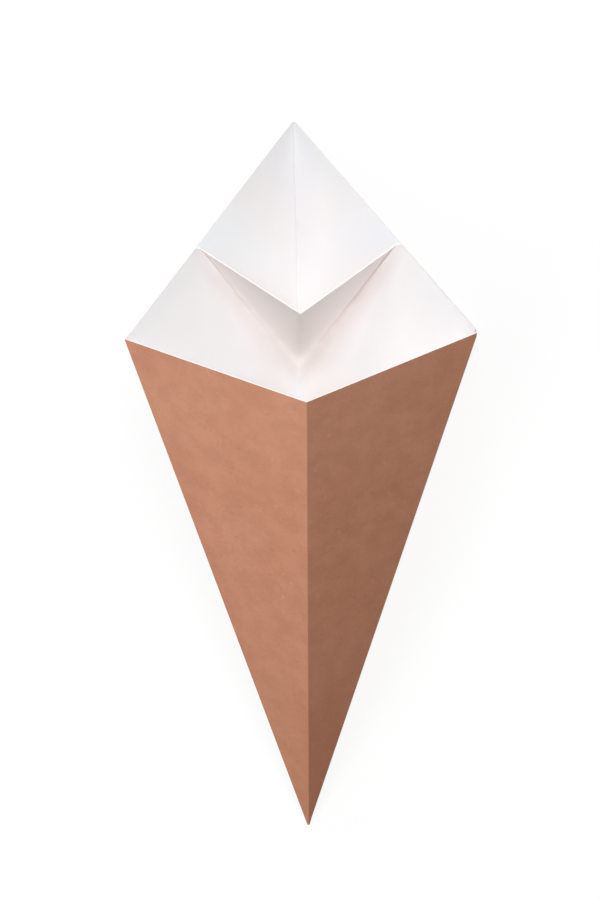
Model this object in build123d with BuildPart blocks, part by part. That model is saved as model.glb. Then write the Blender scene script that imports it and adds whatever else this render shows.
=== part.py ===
from build123d import *
import os
from math import acos, atan2, cos, hypot, radians, sin

# A paper cone for chips, folded from one sheet of board and popped open for use.
# The board is brown outside and white inside. It runs as a fan of six triangles round the tip:
# inner back left, inner back right, front right, front left, outer back left, outer back right.
# The outer back is glued behind the inner back and stands up above it as the peak.
# The inner back is popped forward between two slanting folds, which makes the sauce pocket.
# The cone is drawn upright with its tip at the origin and its back towards +Y, and then laid down.

# The sheet, in millimetres, when the cone is flat. The side corners stand this high above the tip,
# the peak and the slit rise above the corners, and the pocket drops from the slit.
board = 0.45
flat_width = 152.0
side_height = 172.0
peak_rise = 78.0
slit_rise = 31.5
slit_margin = 2.1
pocket_drop = 41.3

# How far the cone is popped open, as the angle in degrees between its front and back creases
crease_spread = 30.2

# What is cut off the sharp ends: the tip, the peak on each side of its crease, the right corner
tip_trim = 1.7
peak_trim = 0.8
corner_trim = 1.0

# How far the glued outer edge and the tucked inner edge keep from the side folds,
# how far above the tip the tucked edge starts, and the rounding of the plain outside folds
seam_setback = 1.0
tuck_gap = 1.2
tuck_start = 8.0
fold_radius = 0.3

# What follows from those sizes, in the flat sheet
half_width = flat_width / 2
side_corner = (half_width, side_height)
side_length = hypot(half_width, side_height)
panel_angle = atan2(half_width, side_height)
peak_height = side_height + peak_rise
peak_slope = peak_rise / half_width
slit_height = side_height + slit_rise
slit_edge = (peak_height - slit_height) / peak_slope
slit_end = slit_edge - slit_margin
pocket_bottom = slit_height - pocket_drop

# Directions of the creases and of the right side fold when the cone is popped open
crease_tilt = radians(crease_spread / 2)
side_tilt = acos(cos(panel_angle) / cos(crease_tilt))
front_crease = Vector(0, -sin(crease_tilt), cos(crease_tilt))
back_crease = Vector(0, sin(crease_tilt), cos(crease_tilt))
side_fold = Vector(sin(side_tilt), 0, cos(side_tilt))


def panel_plane(crease: Vector) -> Plane:
    """Outer plane of a right-hand panel: X to its side fold, Y up its crease, Z to the front."""
    normal = side_fold.cross(crease).normalized()
    return Plane(origin=(0, 0, 0), x_dir=crease.cross(normal), z_dir=normal)


front_plane = panel_plane(front_crease)
back_plane = panel_plane(back_crease)
inner_back_plane = back_plane.offset(board)
white_back_plane = back_plane.offset(2 * board)


def white_crease_point(height: float) -> Vector:
    """Point on the crease of the white inner back, this far up."""
    return Vector(0, 2 * board / back_plane.z_dir.Y, 0) + back_crease * height


def fold_strip(width: float, start: float) -> list:
    """Corners of a strip along the side fold, in a panel's plane, from here to past the corner."""
    along = Vector(sin(panel_angle), cos(panel_angle))
    inward = Vector(-cos(panel_angle), sin(panel_angle)) * width
    low = along * start
    high = along * (side_length + 2 * width)
    return [(point.X, point.Y) for point in (low, high, high + inward, low + inward)]


def is_fold(edge: Edge) -> bool:
    """True for an edge that runs from the tip past the rim."""
    return edge.length > side_length


# Each half shape is cut from a block of this size, which stands on the right of the middle plane
half_block = (peak_height, 2 * peak_height, peak_height)
half_block_place = (Align.MIN, Align.CENTER, Align.MIN)

# The outer shape of the folded cone, without its openings, with the left fold and both creases rounded.
# Its back face on the right stops short of the side fold by the step at the glued seam.
with BuildPart() as cone_outline:
    with Locations((0, 0, tip_trim)):
        Box(*half_block, align=half_block_place)
    split(bisect_by=front_plane, keep=Keep.BOTTOM)
    split(bisect_by=back_plane, keep=Keep.TOP)
    mirror(about=Plane.YZ)
    fillet(edges().filter_by(is_fold).sort_by(Axis.X)[:-1], fold_radius)
    with BuildSketch(back_plane):
        with BuildLine():
            Polyline(*fold_strip(seam_setback, 0), close=True)
        make_face()
    extrude(amount=board, mode=Mode.SUBTRACT)

# The two front panels, which end in the straight rim
with BuildPart() as front_panels:
    with BuildSketch(front_plane):
        with BuildLine():
            Polyline((0, 0), side_corner, (0, side_height), close=True)
        make_face()
    extrude(amount=-board)
    mirror(about=Plane.YZ)

# The space between the inner back's free edge on the left and the side fold it is tucked into
with BuildPart() as tuck_space:
    with BuildSketch(inner_back_plane):
        with BuildLine():
            Polyline(*fold_strip(tuck_gap, tuck_start), close=True)
        make_face()
    extrude(amount=board)

# The two layers of the back: the outer one up to the peak, the inner one up to the slit
with BuildPart() as back_layers:
    with BuildSketch(back_plane):
        with BuildLine():
            peak_end = peak_height - peak_trim * peak_slope
            Polyline((0, 0), side_corner, (peak_trim, peak_end), (0, peak_end), close=True)
        make_face()
    extrude(amount=board)
    with BuildSketch(inner_back_plane):
        with BuildLine():
            Polyline((0, 0), side_corner, (slit_edge, slit_height), (0, slit_height), close=True)
        make_face()
    extrude(amount=board)
    mirror(about=Plane.YZ)
    mirror(tuck_space.part, about=Plane.YZ, mode=Mode.SUBTRACT)
    with BuildSketch(back_plane):
        trim_line = half_width - corner_trim
        with BuildLine():
            Polyline(
                (trim_line, side_height * trim_line / half_width),
                (half_width + corner_trim, side_height),
                (trim_line, side_height + corner_trim * peak_slope),
                close=True,
            )
        make_face()
    extrude(amount=2 * board, mode=Mode.SUBTRACT)

# The pocket's front wall is the inner back turned inside out between its bottom and the slit's ends.
# The lip's middle is where the slit's middle goes when it is reflected in the plane of those points.
pocket_floor = white_crease_point(pocket_bottom)
slit_middle = white_crease_point(slit_height)
slit_corner = white_back_plane.from_local_coords(Vector(slit_end, slit_height))
corner_middle = Vector(0, slit_corner.Y, slit_corner.Z)
pop_normal = Vector(1, 0, 0).cross(corner_middle - pocket_floor).normalized()
lip_middle = slit_middle - pop_normal * (2 * (slit_middle - pocket_floor).dot(pop_normal))
wall_normal = (slit_corner - pocket_floor).cross(lip_middle - pocket_floor).normalized()
wall_plane = Plane(origin=pocket_floor, x_dir=slit_corner - pocket_floor, z_dir=wall_normal)
lip_plane = Plane(origin=slit_corner, z_dir=(lip_middle - slit_corner).cross(wall_normal))

# One half of the pocket as a solid wedge, and the space that the wedge leaves behind its wall
with BuildPart() as pocket_wedge:
    Box(*half_block, align=half_block_place)
    split(bisect_by=wall_plane, keep=Keep.BOTTOM)
    split(bisect_by=lip_plane, keep=Keep.BOTTOM)
    split(bisect_by=inner_back_plane, keep=Keep.TOP)

with BuildPart() as pocket_space:
    Box(*half_block, align=half_block_place)
    split(bisect_by=wall_plane.offset(-board), keep=Keep.BOTTOM)
    split(bisect_by=inner_back_plane, keep=Keep.TOP)

# The whole sheet: layers and panels joined, the pocket popped out, all inside the rounded outer shape
with BuildPart() as folded_cone:
    add(back_layers.part)
    add(pocket_wedge.part)
    mirror(pocket_wedge.part, about=Plane.YZ)
    add(pocket_space.part, mode=Mode.SUBTRACT)
    mirror(pocket_space.part, about=Plane.YZ, mode=Mode.SUBTRACT)
    add(front_panels.part)
    add(cone_outline.part, mode=Mode.INTERSECT)

# The cone lies on its right back panel, with its tip towards -Y, its footprint centred on the origin
folded_cone.part.move(back_plane.location.inverse())
box = folded_cone.part.bounding_box()
folded_cone.part.move(Location((-box.center().X, -box.center().Y, -box.min.Z)))

folded_cone.part.label = "folded_cone"
os.makedirs("parts", exist_ok=True)
export_step(folded_cone.part, "parts/folded_cone.step")
print("cone laid down, mm:", box.size)
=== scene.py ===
"""Looks of a paper cone for chips, folded from one sheet of board and lying on a table.

The board is brown outside and white inside. Its six panels run round the tip in this order:
inner back left, inner back right, front right, front left, outer back left, outer back right.
The inner back is popped forward between two soft folds, which makes the sauce pocket.
"""

import logging
from collections.abc import Iterable
from dataclasses import dataclass, field
from enum import Enum
from functools import cached_property, reduce
from math import acos, atan2, cos, hypot, radians, sin
from operator import or_

import bmesh
import bpy
from mathutils import Euler, Matrix, Vector

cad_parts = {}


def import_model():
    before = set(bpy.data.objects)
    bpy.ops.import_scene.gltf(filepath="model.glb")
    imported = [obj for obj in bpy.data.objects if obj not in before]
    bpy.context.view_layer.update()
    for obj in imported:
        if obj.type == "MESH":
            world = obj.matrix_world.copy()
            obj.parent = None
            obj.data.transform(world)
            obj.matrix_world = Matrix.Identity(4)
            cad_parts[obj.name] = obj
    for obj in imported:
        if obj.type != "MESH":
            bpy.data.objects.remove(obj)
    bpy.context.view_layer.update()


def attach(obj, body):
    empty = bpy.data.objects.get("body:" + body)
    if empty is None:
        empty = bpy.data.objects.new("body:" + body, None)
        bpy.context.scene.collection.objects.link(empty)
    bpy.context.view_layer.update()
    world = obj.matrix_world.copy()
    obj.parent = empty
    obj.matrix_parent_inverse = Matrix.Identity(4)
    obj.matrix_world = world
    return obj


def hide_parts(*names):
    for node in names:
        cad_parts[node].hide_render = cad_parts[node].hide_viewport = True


log = logging.getLogger("paper_cone")

Colour = tuple[float, float, float]
Flat = tuple[float, float]

WHITE_LIGHT = (1.0, 1.0, 1.0, 1.0)


@dataclass(frozen=True)
class ScreenCurve:
    """How a screen turns its values into light: straight near black, then a power."""

    full: int = 255
    straight_below: float = 0.04045
    straight_slope: float = 12.92
    offset: float = 0.055
    power: float = 2.4

    def light(self, value: int) -> float:
        """The light of one screen value, 0 to 1."""
        share = value / self.full
        if share < self.straight_below:
            return share / self.straight_slope
        return ((share + self.offset) / (1 + self.offset)) ** self.power


def linear(red: int, green: int, blue: int) -> Colour:
    """Turn a screen colour into the linear one that materials take.

    Args:
        red: Red on the screen, 0 to 255.
        green: Green on the screen, 0 to 255.
        blue: Blue on the screen, 0 to 255.

    Returns:
        The same colour in linear light, 0 to 1.
    """
    curve = ScreenCurve()
    return curve.light(red), curve.light(green), curve.light(blue)


class Face(Enum):
    """The three surfaces that the board shows, in the order of the piece's material slots."""

    KRAFT = 0
    WHITE = 1
    CUT = 2


class Crease(Enum):
    """The three creases, as the number of panels between them and the front crease."""

    INNER_BACK = -2
    FRONT = 0
    OUTER_BACK = 2


class Side(Enum):
    """The sides of a crease in the flat sheet, as signs of the way across."""

    LEFT = -1
    RIGHT = 1


# Shader expressions


class Value:
    """A number, vector or colour inside a material, on which Python's operators add nodes."""

    def __init__(self, shader: "Shader", socket: bpy.types.NodeSocket) -> None:
        """Keep the shader that the socket belongs to, and the socket itself."""
        self.shader = shader
        self.socket = socket

    def __add__(self, other: "Value | float") -> "Value":
        """Add a number."""
        return self.shader.math("ADD", self, other)

    def __sub__(self, other: "Value | float") -> "Value":
        """Take away a number."""
        return self.shader.math("SUBTRACT", self, other)

    def __mul__(self, other: "Value | float") -> "Value":
        """Multiply by a number."""
        return self.shader.math("MULTIPLY", self, other)

    def __rsub__(self, other: float) -> "Value":
        """Take this from a plain number."""
        return self.shader.math("SUBTRACT", other, self)

    def __abs__(self) -> "Value":
        """Drop the sign."""
        return self.shader.math("ABSOLUTE", self)

    def __or__(self, other: "Value") -> "Value":
        """Take the larger of two numbers, as masks are joined."""
        return self.shader.math("MAXIMUM", self, other)

    __radd__ = __add__
    __rmul__ = __mul__

    def ramp(self, low: float, high: float) -> "Value":
        """Turn the range from low to high into a smooth rise from 0 to 1.

        Args:
            low: Where the rise starts.
            high: Where it ends; below low, it falls instead.

        Returns:
            The smooth step.
        """
        rising = high > low
        step = self.shader.add(
            "ShaderNodeMapRange",
            {"interpolation_type": "SMOOTHSTEP", "clamp": True},
            {
                "Value": self,
                "From Min": low if rising else high,
                "From Max": high if rising else low,
                "To Min": 0.0 if rising else 1.0,
                "To Max": 1.0 if rising else 0.0,
            },
        )
        return Value(self.shader, step.outputs["Result"])

    def between(self, low: float, high: float) -> "Value":
        """Stretch the range from 0 to 1 to one from low to high."""
        return self * (high - low) + low


def joined(masks: Iterable[Value]) -> Value:
    """Join masks into one that is as strong as the strongest of them."""
    return reduce(or_, masks)


@dataclass(frozen=True)
class Pattern:
    """Cloudy noise on the flat sheet.

    Its marks have a length and a width in metres and turn from the sheet's width by some degrees.
    Patterns that start in different places differ.
    """

    length: float
    width: float
    turn: float
    start: float
    detail: float
    roughness: float = 0.5


@dataclass(frozen=True)
class Fibres:
    """Short fibres that lie in several directions, in degrees.

    They show where a noise rises above their rarity, and are full where it is past the edge too.
    """

    length: float
    width: float
    turns: tuple[float, ...]
    start: float
    rarity: float
    edge: float = 0.2
    detail: float = 1.0

    @property
    def patterns(self) -> list[Pattern]:
        """One noise for each direction."""
        return [
            Pattern(self.length, self.width, turn, self.start + number, self.detail)
            for number, turn in enumerate(self.turns)
        ]


class Shader:
    """Node tree of one material or world, filled by expressions."""

    # The middle of a noise's range, where nearly all of its values lie
    MIDDLE: Flat = (0.3, 0.7)
    # How much uncoated board mirrors at right angles, as the share of full gloss
    SPECULAR = 0.25

    def __init__(self, tree: bpy.types.NodeTree) -> None:
        """Empty the tree and start on it.

        Args:
            tree: The node tree of a material or of the world.
        """
        self.tree = tree
        tree.nodes.clear()

    def add(
        self, kind: str, settings: dict | None = None, inputs: dict | None = None
    ) -> bpy.types.Node:
        """Add one node, set it, and then fill its sockets.

        Args:
            kind: The node's type.
            settings: Its properties, which are set first.
            inputs: Values or links of its sockets, by name or by number.

        Returns:
            The node.
        """
        node = self.tree.nodes.new(kind)
        for name, value in (settings or {}).items():
            setattr(node, name, value)
        for name, value in (inputs or {}).items():
            socket = node.inputs[name]
            if isinstance(value, Value):
                self.tree.links.new(value.socket, socket)
            elif isinstance(value, bpy.types.NodeSocket):
                self.tree.links.new(value, socket)
            else:
                socket.default_value = value
        return node

    def math(self, operation: str, *operands: "Value | float") -> Value:
        """Add a Math node on one or two operands."""
        node = self.add("ShaderNodeMath", {"operation": operation}, dict(enumerate(operands)))
        return Value(self, node.outputs[0])

    def mix(self, factor: Value, first: "Colour | Value", second: "Colour | Value") -> Value:
        """Mix two colours.

        Args:
            factor: 0 for the first colour, 1 for the second.
            first: A colour, plain or from a node.
            second: Another colour.

        Returns:
            The mixed colour.
        """
        # The node has a set of sockets for each kind of data: 6, 7 and output 2 are the colours'
        ends = [c if isinstance(c, Value) else (*c, 1.0) for c in (first, second)]
        node = self.add(
            "ShaderNodeMix", {"data_type": "RGBA"}, {"Factor": factor, 6: ends[0], 7: ends[1]}
        )
        return Value(self, node.outputs[2])

    def noise(self, pattern: Pattern) -> Value:
        """Lay a pattern on the flat sheet.

        Args:
            pattern: The pattern.

        Returns:
            Its noise, from 0 to 1.
        """
        sheet = self.add("ShaderNodeUVMap", {"uv_map": SheetShape.FLAT_MAP})
        place = self.add(
            "ShaderNodeMapping",
            {"vector_type": "TEXTURE"},
            {
                "Vector": sheet.outputs["UV"],
                "Location": (pattern.start, pattern.start, 0.0),
                "Rotation": (0.0, 0.0, radians(pattern.turn)),
                "Scale": (pattern.length, pattern.width, 1.0),
            },
        )
        node = self.add(
            "ShaderNodeTexNoise",
            {"noise_dimensions": "2D"},
            {
                "Vector": place.outputs["Vector"],
                "Scale": 1.0,
                "Detail": pattern.detail,
                "Roughness": pattern.roughness,
            },
        )
        return Value(self, node.outputs["Fac"])

    def fibres(self, kind: Fibres) -> Value:
        """Lay fibres on the flat sheet.

        Args:
            kind: The fibres.

        Returns:
            A mask that is 1 on a fibre.
        """
        full = kind.rarity + kind.edge
        return joined(self.noise(pattern).ramp(kind.rarity, full) for pattern in kind.patterns)

    @cached_property
    def flat(self) -> tuple[Value, Value]:
        """Coordinates across and up the flat sheet, from its tip, in metres."""
        sheet = self.add("ShaderNodeUVMap", {"uv_map": SheetShape.FLAT_MAP})
        parts = self.add("ShaderNodeSeparateXYZ", None, {0: sheet.outputs["UV"]})
        return Value(self, parts.outputs["X"]), Value(self, parts.outputs["Y"])

    def beside(self, angle: float) -> Value:
        """How far a point is to the right of a line through the tip, at this angle in radians."""
        across, up = self.flat
        return across * cos(angle) - up * sin(angle)

    def along(self, angle: float) -> Value:
        """How far a point is up a line through the tip, at this angle in radians."""
        across, up = self.flat
        return across * sin(angle) + up * cos(angle)

    def from_tip(self) -> Value:
        """How far a point of the sheet is from the tip, in metres."""
        sheet = self.add("ShaderNodeUVMap", {"uv_map": SheetShape.FLAT_MAP})
        length = self.add("ShaderNodeVectorMath", {"operation": "LENGTH"}, {0: sheet.outputs["UV"]})
        return Value(self, length.outputs["Value"])

    def creases(self, angles: list[float], reach: float) -> Value:
        """How near a point is to the sheet's creases, which all run through the tip.

        Args:
            angles: Directions of the creases in the flat sheet, in radians from its middle.
            reach: How far the mask reaches to each side of a crease, in metres.

        Returns:
            A mask that is 1 on a crease and 0 from its reach on.
        """
        return joined(abs(self.beside(angle)).ramp(reach, 0.0) for angle in angles)

    def surface(
        self, colour: Value, roughness: "Value | float", height: Value, depth: float
    ) -> None:
        """Finish a material of board with its colour, roughness and relief.

        Args:
            colour: Base colour.
            roughness: Roughness, plain or from a node.
            height: Height of the relief, 0 to 1.
            depth: What a height of 1 measures, in metres.
        """
        bump = self.add(
            "ShaderNodeBump", None, {"Strength": 1.0, "Distance": depth, "Height": height}
        )
        board = self.add(
            "ShaderNodeBsdfPrincipled",
            None,
            {
                "Base Color": colour,
                "Roughness": roughness,
                "Specular IOR Level": self.SPECULAR,
                "Normal": bump.outputs[0],
            },
        )
        self.add("ShaderNodeOutputMaterial", None, {"Surface": board.outputs[0]})


def new_material(name: str) -> tuple[bpy.types.Material, Shader]:
    """Make an empty material and the shader that fills it."""
    made = bpy.data.materials.new(name)
    made.use_nodes = True
    return made, Shader(made.node_tree)


# Finishes of the board


@dataclass(frozen=True)
class KraftFinish:
    """The brown outside: mottled, with short darker and lighter fibres and rubbed creases.

    It has painted shade, darker towards the tip, and painted light, lighter towards the rim.
    """

    colour: Colour = linear(195, 138, 110)
    cloud_colour: Colour = linear(190, 132, 104)
    # The darker fibre colour also paints the shade towards the tip
    dark_fibre_and_tip_shade: Colour = linear(155, 102, 76)
    # The lighter fibre colour also paints the light towards the rim
    pale_fibre_and_rim_light: Colour = linear(216, 162, 133)
    rubbed: Colour = linear(208, 151, 123)
    clouds: Pattern = Pattern(0.03, 0.03, turn=20, start=3.1, detail=3)
    mottle: Pattern = Pattern(0.008, 0.008 / 1.3, turn=5, start=7.7, detail=4, roughness=0.55)
    mottle_strength: float = 0.2
    grain: Pattern = Pattern(0.0018, 0.0009, turn=12, start=4.2, detail=2)
    grain_range: Flat = (0.3, 0.8)
    grain_strength: float = 0.1
    dark_fibres: Fibres = Fibres(0.0042, 0.0014, (0, 38, -31, 80), start=11.0, rarity=0.7)
    dark_strength: float = 0.28
    pale_fibres: Fibres = Fibres(0.0042, 0.0014, (12, -48, 64), start=23.0, rarity=0.71)
    pale_strength: float = 0.3
    # Painted shade towards the tip and painted light towards the rim
    tip_shade_reach: Flat = (0.14, 0.0)
    tip_shade_strength: float = 0.4
    rim_light_reach: Flat = (0.12, 0.18)
    rim_light_strength: float = 0.12
    rubbed_reach: float = 0.0004
    roughness: Flat = (0.8, 0.9)
    relief: float = 0.000015
    grain_height: float = 0.7
    pale_height: float = 0.3
    dark_depth: float = 0.2

    def material(self, sizes: "SheetSizes") -> bpy.types.Material:
        """Make the material.

        Args:
            sizes: Sizes of the sheet.

        Returns:
            The material.
        """
        made, shader = new_material("kraft_side")
        clouds = shader.noise(self.clouds).ramp(*shader.MIDDLE)
        mottle = shader.noise(self.mottle)
        mottled = mottle.ramp(*shader.MIDDLE) * self.mottle_strength
        grain = shader.noise(self.grain)
        grained = grain.ramp(*self.grain_range) * self.grain_strength
        dark, pale = shader.fibres(self.dark_fibres), shader.fibres(self.pale_fibres)
        from_tip = shader.from_tip()
        colour = shader.mix(clouds, self.colour, self.cloud_colour)
        colour = shader.mix(mottled, colour, self.dark_fibre_and_tip_shade)
        colour = shader.mix(grained, colour, self.dark_fibre_and_tip_shade)
        colour = shader.mix(dark * self.dark_strength, colour, self.dark_fibre_and_tip_shade)
        colour = shader.mix(pale * self.pale_strength, colour, self.pale_fibre_and_rim_light)
        # Painted shade towards the tip
        tip_shade = from_tip.ramp(*self.tip_shade_reach) * self.tip_shade_strength
        colour = shader.mix(tip_shade, colour, self.dark_fibre_and_tip_shade)
        # Painted light towards the rim
        rim_light = from_tip.ramp(*self.rim_light_reach) * self.rim_light_strength
        colour = shader.mix(rim_light, colour, self.pale_fibre_and_rim_light)
        rubbed = shader.creases(sizes.fold_angles, self.rubbed_reach)
        colour = shader.mix(rubbed * mottle, colour, self.rubbed)
        height = grain * self.grain_height + pale * self.pale_height - dark * self.dark_depth
        shader.surface(colour, mottle.between(*self.roughness), height, self.relief)
        return made


@dataclass(frozen=True)
class PeakTones:
    """Tones of the outer back's white side, whose crease parts a left side from a right one.

    They are painted light and shade, and stay the same under another light: painted shade at the
    peak, painted cool light just above the pocket's lip, and painted shade along the crease.
    Reaches above the lip are measured up the crease from the V that the lip makes before it.
    """

    # Painted shade at the peak
    peak_shade: Colour = linear(229, 230, 231)
    peak_shade_reach: Flat = (0.205, 0.245)
    peak_shade_strength: Flat = (0.6, 1.0)
    # Painted cool light just above the lip, against the brown light that the pocket's back reflects
    # there
    lip_light_left: Colour = linear(240, 247, 250)
    lip_light_right: Colour = linear(235, 239, 243)
    lip_light_start: Flat = (-0.03, -0.025)
    lip_light_end: Flat = (0.034, 0.004)
    lip_height: float = 0.182
    # Painted shade along the crease, stronger on the right above the lip
    crease_shade: Colour = linear(224, 224, 227)
    crease_shade_reach: float = 0.014
    crease_shade_right_from: Flat = (-0.008, 0.03)
    crease_shade_left: float = 0.4
    crease_blend: float = 0.0003

    def laid_on(self, colour: Value, shader: Shader, sizes: "SheetSizes") -> Value:
        """Lay the tones on the sheet's colour.

        Args:
            colour: The colour so far.
            shader: The material's nodes.
            sizes: Sizes of the sheet.

        Returns:
            The colour with these tones.
        """
        beside = shader.beside(sizes.angle(Crease.OUTER_BACK))
        on_right = beside.ramp(-self.crease_blend, self.crease_blend)
        # Painted shade at the peak, stronger on the right of the crease
        peak_shade = shader.from_tip().ramp(*self.peak_shade_reach) * on_right.between(*self.peak_shade_strength)
        colour = shader.mix(peak_shade, colour, self.peak_shade)
        above_lip = self.above_lip(beside, shader, sizes)
        # Painted cool light just above the lip
        lip_light = above_lip.ramp(*self.lip_light_end) * above_lip.ramp(*self.lip_light_start)
        lip_light_colour = shader.mix(on_right, self.lip_light_left, self.lip_light_right)
        colour = shader.mix(lip_light, colour, lip_light_colour)
        # Painted shade along the crease
        right_strength = on_right * above_lip.ramp(*self.crease_shade_right_from)
        strength = right_strength + (1 - on_right) * self.crease_shade_left
        crease_shade_mask = abs(beside).ramp(self.crease_shade_reach, 0.0)
        return shader.mix(crease_shade_mask * strength, colour, self.crease_shade)

    def above_lip(self, beside: Value, shader: Shader, sizes: "SheetSizes") -> Value:
        """How far a point of the outer back is above the V that the lip makes before it.

        Args:
            beside: How far the point is to the right of the outer back's crease.
            shader: The material's nodes.
            sizes: Sizes of the sheet.

        Returns:
            The distance up the crease, in metres, which is far below zero on the other panels.
        """
        slope = (sizes.slit_height - self.lip_height) / sizes.slit_end
        along = shader.along(sizes.angle(Crease.OUTER_BACK))
        return along - self.lip_height - abs(beside) * slope


@dataclass(frozen=True)
class PocketTones:
    """Tones of the inner back round the pocket, which follow the photograph's light too.

    There is painted shade before the pocket's folds, painted light on its walls, and a thin line of
    painted shade along the folds. Heights run from 0 at the pocket's bottom to 1 at the slit.
    """

    slit_blend: Flat = (1.05, 1.02)
    crease_blend: float = 0.0005
    # Painted shade before the pocket's folds
    fold_shade: Colour = linear(217, 206, 202)
    fold_shade_reach: Flat = (-0.009, 0.0)
    fold_shade_narrowing: Flat = (0.55, 1.35)
    fold_shade_strength: Flat = (0.75, 1.0)
    fold_shade_ends: Flat = (0.95, 0.6)
    fold_shade_ends_strength: Flat = (0.3, 1.0)
    fold_shade_start: Flat = (-0.2, 0.1)
    # Painted light on the pocket's walls
    wall: Colour = linear(255, 247, 244)
    wall_light_edge: Flat = (-0.0004, 0.001)
    soft_wall_light_edge: Flat = (-0.004, 0.004)
    soft_below: Flat = (0.65, 0.4)
    # A thin line of painted shade along the pocket's folds
    fold_line_shade: Colour = linear(223, 208, 201)
    fold_line_shade_place: float = 0.0009
    fold_line_shade_reach: float = 0.0014
    fold_line_shade_start: Flat = (0.1, 0.5)
    fold_line_shade_strength: Flat = (0.1, 0.7)
    fold_line_shade_ends: Flat = (0.75, 1.0)
    fold_line_shade_ends_strength: float = 0.4

    def laid_on(self, colour: Value, shader: Shader, sizes: "SheetSizes") -> Value:
        """Lay the tones on the sheet's colour.

        Args:
            colour: The colour so far.
            shader: The material's nodes.
            sizes: Sizes of the sheet.

        Returns:
            The colour with these tones.
        """
        past_fold, height, on_right = self.places(shader, sizes)
        below_slit = height.ramp(*self.slit_blend)
        # Painted shade before the pocket's folds
        fold_shade = (past_fold * height.between(*self.fold_shade_narrowing)).ramp(*self.fold_shade_reach)
        fold_shade = fold_shade * on_right.between(*self.fold_shade_strength) * height.ramp(*self.fold_shade_start)
        fold_shade = fold_shade * height.ramp(*self.fold_shade_ends).between(*self.fold_shade_ends_strength)
        colour = shader.mix(fold_shade * below_slit, colour, self.fold_shade)
        # Painted light on the pocket's walls, with a softer edge low down
        soft = height.ramp(*self.soft_below)
        crisp_wall_light = past_fold.ramp(*self.wall_light_edge) * (1 - soft)
        wall = past_fold.ramp(*self.soft_wall_light_edge) * soft + crisp_wall_light
        colour = shader.mix(wall * below_slit, colour, self.wall)
        # A thin line of painted shade along the pocket's folds, stronger on the right
        fold_line_shade = abs(past_fold - self.fold_line_shade_place).ramp(self.fold_line_shade_reach, 0.0)
        at_ends = height.ramp(*self.fold_line_shade_ends) * self.fold_line_shade_ends_strength
        strength = height.ramp(*self.fold_line_shade_start) * (on_right.between(*self.fold_line_shade_strength) + at_ends)
        return shader.mix(fold_line_shade * strength * below_slit, colour, self.fold_line_shade)

    def places(self, shader: Shader, sizes: "SheetSizes") -> tuple[Value, Value, Value]:
        """Where a point of the inner back lies in the pocket.

        Args:
            shader: The material's nodes.
            sizes: Sizes of the sheet.

        Returns:
            How far it is past the pocket's nearer fold, towards the front wall, in metres; its
            height in the pocket; and 1 on the right of the inner back's crease.
        """
        angle = sizes.angle(Crease.INNER_BACK)
        sideways, above = shader.beside(angle), shader.along(angle) - sizes.pocket_bottom
        run, rise = sizes.slit_end, sizes.pocket_drop
        length = hypot(run, rise)
        past_fold = above * (run / length) - abs(sideways) * (rise / length)
        on_right = sideways.ramp(-self.crease_blend, self.crease_blend)
        return past_fold, above * (1 / rise), on_right


@dataclass(frozen=True)
class WhiteFinish:
    """The white inside: smooth, with faint clouds and pressed creases.

    It has painted shade beside the creases, and warm painted shade deep down towards the tip.
    """

    colour: Colour = linear(240, 238, 239)
    cloud_colour: Colour = linear(238, 236, 237)
    # Painted warm shade deep down towards the tip
    deep_shade: Colour = linear(233, 227, 223)
    deep_shade_reach: Flat = (0.166, 0.146)
    # Painted shade beside the creases
    crease_shade: Colour = linear(229, 228, 230)
    crease_shade_reach: float = 0.007
    pressed: Colour = linear(230, 228, 229)
    pressed_reach: float = 0.0006
    pressed_strength: float = 0.2
    clouds: Pattern = Pattern(0.02, 0.02, turn=35, start=5.3, detail=3)
    grain: Pattern = Pattern(0.0012, 0.0012 / 1.8, turn=5, start=1.9, detail=4, roughness=0.6)
    roughness: Flat = (0.55, 0.65)
    relief: float = 0.00002
    peak_tones: PeakTones = PeakTones()
    pocket_tones: PocketTones = PocketTones()

    def material(self, sizes: "SheetSizes") -> bpy.types.Material:
        """Make the material.

        Args:
            sizes: Sizes of the sheet.

        Returns:
            The material.
        """
        made, shader = new_material("white_side")
        clouds = shader.noise(self.clouds).ramp(*shader.MIDDLE)
        grain = shader.noise(self.grain)
        colour = shader.mix(clouds, self.colour, self.cloud_colour)
        # Painted warm shade deep down towards the tip
        colour = shader.mix(shader.from_tip().ramp(*self.deep_shade_reach), colour, self.deep_shade)
        # Painted shade beside the creases, of which the outer back's crease comes last and has its
        # own painted shade
        crease_shade_mask = shader.creases(sizes.fold_angles[:-1], self.crease_shade_reach)
        colour = shader.mix(crease_shade_mask, colour, self.crease_shade)
        colour = self.peak_tones.laid_on(colour, shader, sizes)
        colour = self.pocket_tones.laid_on(colour, shader, sizes)
        pressed = shader.creases(sizes.fold_angles, self.pressed_reach)
        colour = shader.mix(pressed * self.pressed_strength, colour, self.pressed)
        shader.surface(colour, grain.between(*self.roughness), grain, self.relief)
        return made


@dataclass(frozen=True)
class CutFinish:
    """The cut edge of the board, where the pale core shows a few layers."""

    colour: Colour = linear(236, 233, 231)
    layer_colour: Colour = linear(230, 227, 224)
    fibres: Pattern = Pattern(0.003, 0.0002, turn=0, start=2.0, detail=3)
    roughness: float = 0.9
    relief: float = 0.00002

    def material(self) -> bpy.types.Material:
        """Make the material."""
        made, shader = new_material("cut_edge")
        fibres = shader.noise(self.fibres)
        colour = shader.mix(fibres.ramp(*shader.MIDDLE), self.colour, self.layer_colour)
        shader.surface(colour, self.roughness, fibres, self.relief)
        return made


# The folded sheet


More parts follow.
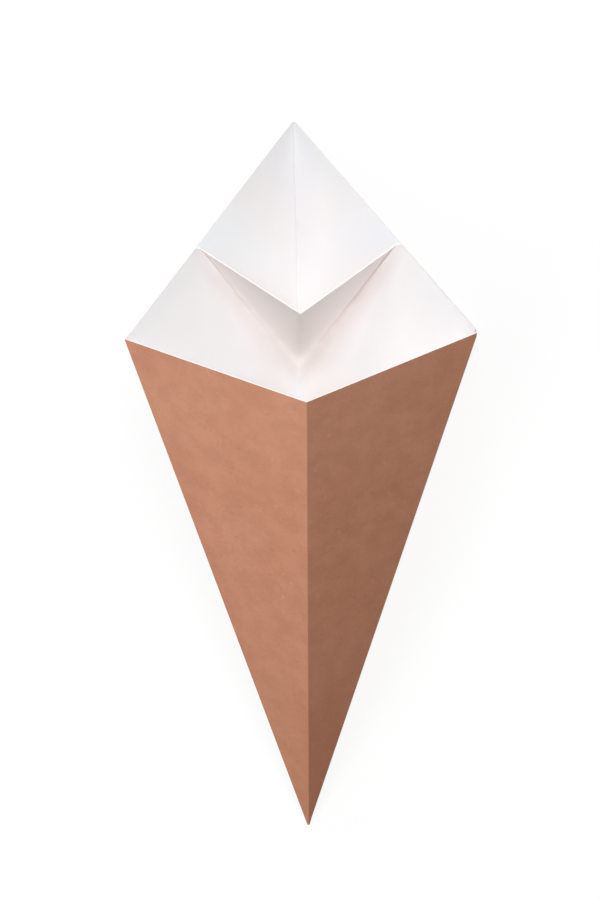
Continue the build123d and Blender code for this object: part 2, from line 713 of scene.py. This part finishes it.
@dataclass(frozen=True)
class Cut:
    """A plane, as its unit normal and how far along it the plane lies from the cone's tip."""

    normal: Vector
    distance: float

    def mirrored(self) -> "Cut":
        """The same plane on the other side of the cone."""
        return Cut(Vector((-self.normal.x, self.normal.y, self.normal.z)), self.distance)

    def meet(self, second: "Cut", third: "Cut") -> Vector:
        """The point that three planes share.

        Args:
            second: Another plane.
            third: The last one.

        Returns:
            The point.
        """
        rows = Matrix((self.normal, second.normal, third.normal))
        return rows.inverted() @ Vector((self.distance, second.distance, third.distance))


@dataclass(frozen=True)
class Panel:
    """A right-hand panel of the upright cone, between a crease and the right side fold.

    Its own coordinates run towards the side fold and up the crease, on the outside of the board.
    """

    crease: Vector
    inward: Vector
    sideways: Vector

    def layer(self, depth: float) -> Cut:
        """The plane that lies this far inside the panel's outer face."""
        return Cut(self.inward, depth)

    def line(self, start: Flat, end: Flat) -> Cut:
        """The plane that stands on the panel along a line.

        Args:
            start: A point of the line, in the panel's own coordinates.
            end: Another point of it.

        Returns:
            The plane.
        """
        run, rise = end[0] - start[0], end[1] - start[1]
        length = hypot(run, rise)
        normal = (self.sideways * rise - self.crease * run) / length
        return Cut(normal, (start[0] * rise - start[1] * run) / length)

    def flat_place(self, point: Vector) -> Flat:
        """A point's place in the panel's own coordinates."""
        return self.sideways.dot(point), self.crease.dot(point)


@dataclass(frozen=True)
class SheetSizes:
    """Sizes of the sheet in metres, with heights up a crease from the tip, and of its opening."""

    board: float = 0.00045
    half_width: float = 0.076
    side_height: float = 0.172
    peak_rise: float = 0.078
    slit_rise: float = 0.0315
    slit_margin: float = 0.0021
    pocket_drop: float = 0.0413
    tip_trim: float = 0.00178
    peak_trim: float = 0.0008
    corner_trim: float = 0.001
    seam_setback: float = 0.001
    tuck_gap: float = 0.0012
    inner_start: float = 0.005
    crease_spread: float = radians(30.2)

    @property
    def panel_angle(self) -> float:
        """The angle between a crease and a side fold in the flat sheet."""
        return atan2(self.half_width, self.side_height)

    @property
    def fold_angles(self) -> list[float]:
        """Directions of all five folds in the flat sheet, from the front crease to the right."""
        numbers = range(Crease.INNER_BACK.value, Crease.OUTER_BACK.value + 1)
        return [number * self.panel_angle for number in numbers]

    def angle(self, crease: Crease) -> float:
        """Direction of a crease in the flat sheet, from the front crease to the right."""
        return crease.value * self.panel_angle

    @property
    def peak_height(self) -> float:
        """Height of the peak."""
        return self.side_height + self.peak_rise

    @property
    def slit_height(self) -> float:
        """Height of the slit."""
        return self.side_height + self.slit_rise

    @property
    def pocket_bottom(self) -> float:
        """Height of the pocket's bottom."""
        return self.slit_height - self.pocket_drop

    @property
    def slit_end(self) -> float:
        """How far the slit's ends are from the back crease."""
        return (self.peak_height - self.slit_height) / self.slope - self.slit_margin

    @property
    def slope(self) -> float:
        """How far the outline rises for each metre from the side corner towards the peak."""
        return self.peak_rise / self.half_width

    def on_slope(self, sideways: float) -> Flat:
        """The point of the sloping outline that is this far from the crease."""
        return sideways, self.peak_height - sideways * self.slope

    def beside_fold(self, gap: float, up: float) -> Flat:
        """A point beside the side fold.

        Args:
            gap: How far it is from the fold.
            up: How far the foot of that distance is up the fold.

        Returns:
            The point, in a panel's own coordinates.
        """
        angle = self.panel_angle
        return up * sin(angle) - gap * cos(angle), up * cos(angle) + gap * sin(angle)

    def panel(self, back: bool) -> Panel:
        """The right-hand panel at the front or at the back of the popped-open cone."""
        tilt = self.crease_spread / 2
        side_tilt = acos(cos(self.panel_angle) / cos(tilt))
        side_fold = Vector((sin(side_tilt), 0.0, cos(side_tilt)))
        crease = Vector((0.0, sin(tilt) if back else -sin(tilt), cos(tilt)))
        forward = side_fold.cross(crease).normalized()
        return Panel(crease, forward if back else -forward, crease.cross(forward))


@dataclass
class SheetShape:
    """The sheet as the middle surface of its board, folded, popped open and laid down.

    The inner back is cut along a grid of lines and then relaxed: all of it by the fold passes, and
    each ring round the pocket's bottom, given as its radius and passes, some more.
    """

    FLAT_MAP = "flat_sheet"
    INNER_BACK = "inner_back"

    sizes: SheetSizes = field(default_factory=SheetSizes)
    tip_place: Vector = field(default_factory=lambda: Vector((-0.0283, -0.125361, 0.0)))
    fold_radius: float = 0.0003
    fold_steps: int = 4
    fold_profile: float = 0.5
    long_fold: float = 0.9
    grid: float = 0.0012
    grid_lines: int = 34
    cut_gap: float = 1e-6
    weld_gap: float = 1e-5
    smooth_cells: float = 4
    fold_passes: int = 2
    soft_rings: tuple[tuple[float, int], ...] = (
        (0.04, 3),
        (0.03, 5),
        (0.022, 8),
        (0.014, 10),
        (0.008, 12),
    )
    relax_share: float = 0.5

    def points(self) -> dict[str, Vector]:
        """Work out the corners of all panels, where the middle planes of the layers meet.

        Returns:
            The corners of the upright cone, by name.
        """
        s = self.sizes
        front, back = s.panel(back=False), s.panel(back=True)
        # The middles of the first and the second layer of board, from the outside
        first_layer, second_layer = 0.5 * s.board, 1.5 * s.board
        front_layer = front.layer(first_layer)
        outer, inner = back.layer(first_layer), back.layer(second_layer)
        middle = Cut(Vector((1.0, 0.0, 0.0)), 0.0)
        low, inner_low = (Cut(Vector((0.0, 0.0, 1.0)), up) for up in (s.tip_trim, s.inner_start))
        rim = front.line((s.half_width, s.side_height), (0.0, s.side_height))
        slope = back.line(s.on_slope(0.0), s.on_slope(s.half_width))
        slit = back.line((0.0, s.slit_height), (s.half_width, s.slit_height))
        floor = back.line((0.0, s.pocket_bottom), (s.half_width, s.pocket_bottom))
        slit_end = back.line((s.slit_end, 0.0), (s.slit_end, s.peak_height))
        trimmed = s.half_width - s.corner_trim
        corner = back.line((trimmed, 0.0), (trimmed, s.peak_height))
        peak_end = s.on_slope(s.peak_trim)
        peak_cut = back.line((0.0, peak_end[1]), peak_end)
        seam, tuck = (
            back.line(s.beside_fold(gap, 0.0), s.beside_fold(gap, s.peak_height))
            for gap in (s.seam_setback, s.tuck_gap)
        )
        left_front, left_outer, left_inner = (c.mirrored() for c in (front_layer, outer, inner))
        found = {
            "front_tip": front_layer.meet(middle, low),
            "front_rim": front_layer.meet(middle, rim),
            "right_tip": front_layer.meet(outer, low),
            "right_low": front_layer.meet(inner, inner_low),
            "right_back_top": front_layer.meet(inner, corner),
            "right_front_top": front_layer.meet(inner, rim),
            "inner_low": inner.meet(middle, inner_low),
            "pocket_floor": inner.meet(middle, floor),
            "slit_middle": inner.meet(middle, slit),
            "slit_right": inner.meet(slit, slit_end),
            "slope_right": inner.meet(slit, slope),
            "corner_right": inner.meet(slope, corner),
            "slit_left": left_inner.meet(slit.mirrored(), slit_end.mirrored()),
            "slope_left": left_inner.meet(slit.mirrored(), slope.mirrored()),
            "tuck_top": left_inner.meet(slope.mirrored(), tuck.mirrored()),
            "tuck_low": left_inner.meet(tuck.mirrored(), inner_low),
            "outer_tip": outer.meet(middle, low),
            "peak": outer.meet(middle, peak_cut),
            "peak_right": outer.meet(slope, peak_cut),
            "peak_left": left_outer.meet(slope.mirrored(), peak_cut.mirrored()),
            "corner_outer": outer.meet(slope, corner),
            "seam_top": outer.meet(corner, seam),
            "seam_low": outer.meet(seam, low),
            "left_tip": left_front.meet(left_outer, low),
            "left_top": left_front.meet(left_outer, slope.mirrored()),
        }
        found["lip_middle"] = self.popped(found)
        return found

    def popped(self, found: dict[str, Vector]) -> Vector:
        """Where the slit's middle goes when the inner back is turned inside out.

        Args:
            found: The corners so far.

        Returns:
            The slit's middle, reflected in the plane of the slit's ends and the pocket's bottom.
        """
        floor, middle = found["pocket_floor"], found["slit_middle"]
        ends = (found["slit_right"] + found["slit_left"]) / 2
        normal = Vector((1.0, 0.0, 0.0)).cross(ends - floor).normalized()
        return middle - normal * (2 * (middle - floor).dot(normal))

    def flat_corners(
        self, found: dict[str, Vector], names: list[str], crease: Crease, side: Side
    ) -> list[Flat]:
        """Places of a panel's corners in the flat sheet, whose tip is at zero.

        Args:
            found: All corners of the folded cone.
            names: The panel's corners.
            crease: Its crease.
            side: The side of the crease that it is on.

        Returns:
            The places, in metres.
        """
        panel = self.sizes.panel(back=crease is not Crease.FRONT)
        angle = self.sizes.angle(crease)
        places = []
        for name in names:
            point = found["slit_middle" if name == "lip_middle" else name].copy()
            point.x = abs(point.x)
            sideways, up = panel.flat_place(point)
            sideways *= side.value
            across = sideways * cos(angle) + up * sin(angle)
            places.append((across, up * cos(angle) - sideways * sin(angle)))
        return places

    def folded(self) -> bmesh.types.BMesh:
        """Make the folded middle surface, upright, with its flat map.

        Returns:
            The mesh, with brown faces outwards.
        """
        found = self.points()
        bm = bmesh.new()
        flat = bm.loops.layers.uv.new(self.FLAT_MAP)
        inside = bm.faces.layers.int.new(self.INNER_BACK)
        verts = {
            name: bm.verts.new(point) for name, point in found.items() if name != "slit_middle"
        }
        inner, front, outer = Crease.INNER_BACK, Crease.FRONT, Crease.OUTER_BACK
        left_pocket = "tuck_low tuck_top slope_left slit_left pocket_floor inner_low"
        right_pocket = (
            "pocket_floor slit_right slope_right corner_right right_back_top right_low inner_low"
        )
        # The front lies face down in the flat sheet, so its right panel is left of its crease
        right_front = "right_tip right_low right_back_top right_front_top front_rim front_tip"
        panels = (
            (inner, Side.LEFT, left_pocket),
            (inner, Side.LEFT, "slit_left lip_middle pocket_floor"),
            (inner, Side.RIGHT, "lip_middle slit_right pocket_floor"),
            (inner, Side.RIGHT, right_pocket),
            (front, Side.LEFT, right_front),
            (front, Side.RIGHT, "front_rim left_top left_tip front_tip"),
            (outer, Side.LEFT, "left_tip left_top peak_left peak outer_tip"),
            (outer, Side.RIGHT, "peak peak_right corner_outer seam_top seam_low outer_tip"),
        )
        for crease, side, words in panels:
            names = words.split()
            face = bm.faces.new([verts[name] for name in names])
            face[inside] = int(crease is inner)
            places = self.flat_corners(found, names, crease, side)
            for loop, place in zip(face.loops, places):
                loop[flat].uv = place
        return bm

    def round_folds(self, bm: bmesh.types.BMesh) -> None:
        """Round the four folds that run the whole way round the outside."""
        inside = bm.faces.layers.int[self.INNER_BACK]
        folds = [
            e
            for e in bm.edges
            if len(e.link_faces) == 2
            and e.calc_length() > self.sizes.side_height * self.long_fold
            and not all(f[inside] for f in e.link_faces)
        ]
        made = bmesh.ops.bevel(
            bm,
            geom=folds,
            offset=self.fold_radius,
            offset_type="OFFSET",
            segments=self.fold_steps,
            profile=self.fold_profile,
            affect="EDGES",
            material=-1,
            clamp_overlap=True,
        )
        for face in made["faces"]:
            face.smooth = True

    def cut_grid(self, bm: bmesh.types.BMesh) -> None:
        """Cut the inner back along lines parallel to the pocket's folds, to soften it later."""
        found = self.points()
        floor = found["pocket_floor"]
        inside = bm.faces.layers.int[self.INNER_BACK]
        for end in (found["slit_right"], found["slit_left"]):
            normal = (end - floor).cross(Vector((0.0, 1.0, 0.0))).normalized()
            for number in range(-self.grid_lines, self.grid_lines + 1):
                faces = [f for f in bm.faces if f[inside]]
                edges = {e for f in faces for e in f.edges}
                verts = {v for f in faces for v in f.verts}
                bmesh.ops.bisect_plane(
                    bm,
                    geom=faces + list(edges) + list(verts),
                    dist=self.cut_gap,
                    plane_co=floor + normal * (number * self.grid),
                    plane_no=normal,
                )
        bmesh.ops.remove_doubles(bm, verts=bm.verts[:], dist=self.weld_gap)

    def soften_pocket(self, bm: bmesh.types.BMesh) -> None:
        """Relax the board where the pocket's folds run together, and a little along the folds."""
        found = self.points()
        floor = found["pocket_floor"]
        inside = bm.faces.layers.int[self.INNER_BACK]
        loose = [
            v
            for v in bm.verts
            if not v.is_boundary and v.link_faces and all(f[inside] for f in v.link_faces)
        ]
        for face in bm.faces:
            if face[inside] and face.calc_area() < self.smooth_cells * self.grid**2:
                face.smooth = True
        self.relax(bm, loose, self.fold_passes)
        for reach, passes in self.soft_rings:
            self.relax(bm, [v for v in loose if (v.co - floor).length < reach], passes)

    def relax(self, bm: bmesh.types.BMesh, verts: list[bmesh.types.BMVert], passes: int) -> None:
        """Move vertices towards the middle of their neighbours.

        Args:
            bm: The mesh.
            verts: The vertices that move.
            passes: How often they do so.
        """
        for _ in range(passes):
            bmesh.ops.smooth_vert(
                bm,
                verts=verts,
                factor=self.relax_share,
                use_axis_x=True,
                use_axis_y=True,
                use_axis_z=True,
            )

    def laid_down(self) -> Matrix:
        """The turn and move that lay the upright cone on its right back panel."""
        back = self.sizes.panel(back=True)
        turn = Matrix((back.sideways, back.crease, back.inward)).to_4x4()
        return Matrix.Translation(self.tip_place) @ turn

    def build(self) -> bmesh.types.BMesh:
        """Make the whole middle surface in its place in the frame."""
        bm = self.folded()
        self.round_folds(bm)
        self.cut_grid(bm)
        self.soften_pocket(bm)
        bmesh.ops.transform(bm, matrix=self.laid_down(), verts=bm.verts[:])
        return bm


@dataclass
class PaperCone:
    """The folded cone: its sheet given the board's thickness and its three finishes."""

    shape: SheetShape = field(default_factory=SheetShape)
    kraft: KraftFinish = field(default_factory=KraftFinish)
    white: WhiteFinish = field(default_factory=WhiteFinish)
    cut: CutFinish = field(default_factory=CutFinish)
    sharp_from: float = radians(40)

    def build(self) -> bpy.types.Object:
        """Make the piece that stands for the CAD cone.

        Returns:
            The dressed piece.
        """
        bm = self.shape.build()
        mesh = bpy.data.meshes.new("folded_board")
        bm.to_mesh(mesh)
        bm.free()
        piece = bpy.data.objects.new("folded_board", mesh)
        bpy.context.scene.collection.objects.link(piece)
        sizes = self.shape.sizes
        for made in (self.kraft.material(sizes), self.white.material(sizes), self.cut.material()):
            mesh.materials.append(made)
        self.thicken(piece)
        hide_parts("folded_cone")
        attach(piece, "root")
        return piece

    def thicken(self, piece: bpy.types.Object) -> None:
        """Give the middle surface the board's thickness, white inside and cut at its edges.

        Args:
            piece: The piece, whose mesh is replaced.
        """
        wall = piece.modifiers.new("board", "SOLIDIFY")
        wall.thickness = self.shape.sizes.board
        wall.offset = 0.0
        wall.use_even_offset = True
        wall.use_quality_normals = True
        wall.material_offset = Face.WHITE.value
        wall.material_offset_rim = Face.CUT.value
        graph = bpy.context.evaluated_depsgraph_get()
        thick = bpy.data.meshes.new_from_object(piece.evaluated_get(graph))
        piece.modifiers.clear()
        thin, piece.data = piece.data, thick
        bpy.data.meshes.remove(thin)
        thick.name = piece.name
        thick.set_sharp_from_angle(angle=self.sharp_from)


# The studio


@dataclass(frozen=True)
class Floor:
    """A plain white table top, which shows a faint shadow of the cone."""

    half_size: float = 3.0
    drop: float = 0.0002
    seen_colour: Colour = (0.9, 0.9, 0.9)
    bounce_colour: Colour = (0.2, 0.2, 0.2)
    glow: float = 0.8

    def build(self) -> bpy.types.Object:
        """Make the floor, which isn't part of the object."""
        bm = bmesh.new()
        bmesh.ops.create_grid(bm, x_segments=1, y_segments=1, size=self.half_size)
        bmesh.ops.translate(bm, verts=bm.verts[:], vec=(0.0, 0.0, -self.drop))
        mesh = bpy.data.meshes.new("table_top")
        bm.to_mesh(mesh)
        bm.free()
        floor = bpy.data.objects.new("table_top", mesh)
        bpy.context.scene.collection.objects.link(floor)
        mesh.materials.append(self.material())
        return floor

    def material(self) -> bpy.types.Material:
        """A matte white that looks as bright as the paper round the photograph."""
        made, shader = new_material("white_table")
        matte = shader.add("ShaderNodeBsdfDiffuse", None, {"Color": (*self.seen_colour, 1.0)})
        glow = shader.add("ShaderNodeEmission", None, {"Color": WHITE_LIGHT, "Strength": 1.0})
        seen = shader.add(
            "ShaderNodeMixShader", None, {0: self.glow, 1: matte.outputs[0], 2: glow.outputs[0]}
        )
        bounce = shader.add("ShaderNodeBsdfDiffuse", None, {"Color": (*self.bounce_colour, 1.0)})
        both = shader.add(
            "ShaderNodeMixShader",
            None,
            {0: seen_directly(shader), 1: bounce.outputs[0], 2: seen.outputs[0]},
        )
        shader.add("ShaderNodeOutputMaterial", None, {"Surface": both.outputs[0]})
        return made


def seen_directly(shader: Shader) -> Value:
    """1 for what the camera sees straight, mirrored or through glass, and 0 for light on things."""
    path = shader.add("ShaderNodeLightPath")
    rays = ("Is Camera Ray", "Is Glossy Ray", "Is Transmission Ray")
    camera, glossy, through = (Value(shader, path.outputs[ray]) for ray in rays)
    return camera | glossy | through


@dataclass(frozen=True)
class Lamp:
    """A soft square lamp that points at the cone."""

    name: str
    place: tuple[float, float, float]
    size: float
    watts: float
    colour: Colour = (1.0, 1.0, 1.0)

    def build(self) -> bpy.types.Object:
        """Hang the lamp."""
        light = bpy.data.lights.new(self.name, "AREA")
        light.size = self.size
        light.energy = self.watts
        light.color = self.colour
        lamp = bpy.data.objects.new(self.name, light)
        lamp.location = self.place
        lamp.rotation_euler = Vector(self.place).to_track_quat("Z", "Y").to_euler()
        bpy.context.scene.collection.objects.link(lamp)
        return lamp


@dataclass(frozen=True)
class Studio:
    """Dim even surroundings and three soft lamps, of which the strongest hangs near the camera."""

    sky: float = 0.15
    lamps: tuple[Lamp, ...] = (
        Lamp("key", (0.96, 0.45, 1.46), 0.9, 28.3),
        Lamp("front_left", (-1.28, -0.74, 1.03), 0.9, 17.8),
        Lamp("beyond_peak", (0.0, 1.76, 0.374), 0.9, 18.4),
    )

    def build(self) -> None:
        """Set the world and hang the lamps."""
        world = bpy.data.worlds.new("studio")
        bpy.context.scene.world = world
        world.use_nodes = True
        shader = Shader(world.node_tree)
        strength = seen_directly(shader).between(self.sky, 1.0)
        back = shader.add(
            "ShaderNodeBackground", None, {"Color": WHITE_LIGHT, "Strength": strength}
        )
        shader.add("ShaderNodeOutputWorld", None, {"Surface": back.outputs[0]})
        for lamp in self.lamps:
            lamp.build()


@dataclass(frozen=True)
class PhotoView:
    """The camera at the photograph's place, as fitted to the sheet's corners."""

    place: tuple[float, float, float] = (0.678818, 0.002765, 0.970304)
    turn: tuple[float, float, float] = (-0.61983, 36.085812, -1.518058)
    lens: float = 136.58
    sensor: float = 36.0
    near: float = 0.01

    def build(self) -> bpy.types.Object:
        """Make the camera and use it."""
        data = bpy.data.cameras.new("photo_view")
        data.lens = self.lens
        data.sensor_width = self.sensor
        data.clip_start = self.near
        camera = bpy.data.objects.new("photo_view", data)
        camera.location = self.place
        camera.rotation_euler = Euler([radians(angle) for angle in self.turn], "XYZ")
        bpy.context.scene.collection.objects.link(camera)
        bpy.context.scene.camera = camera
        return camera


def main() -> None:
    """Load the frame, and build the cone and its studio."""
    logging.basicConfig(level=logging.INFO, format="%(name)s: %(message)s")
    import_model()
    scene = bpy.context.scene
    scene.view_settings.view_transform = "Standard"
    cone = PaperCone().build()
    log.info("%s: %d faces", cone.name, len(cone.data.polygons))
    Floor().build()
    Studio().build()
    PhotoView().build()


if __name__ == "__main__":
    main()
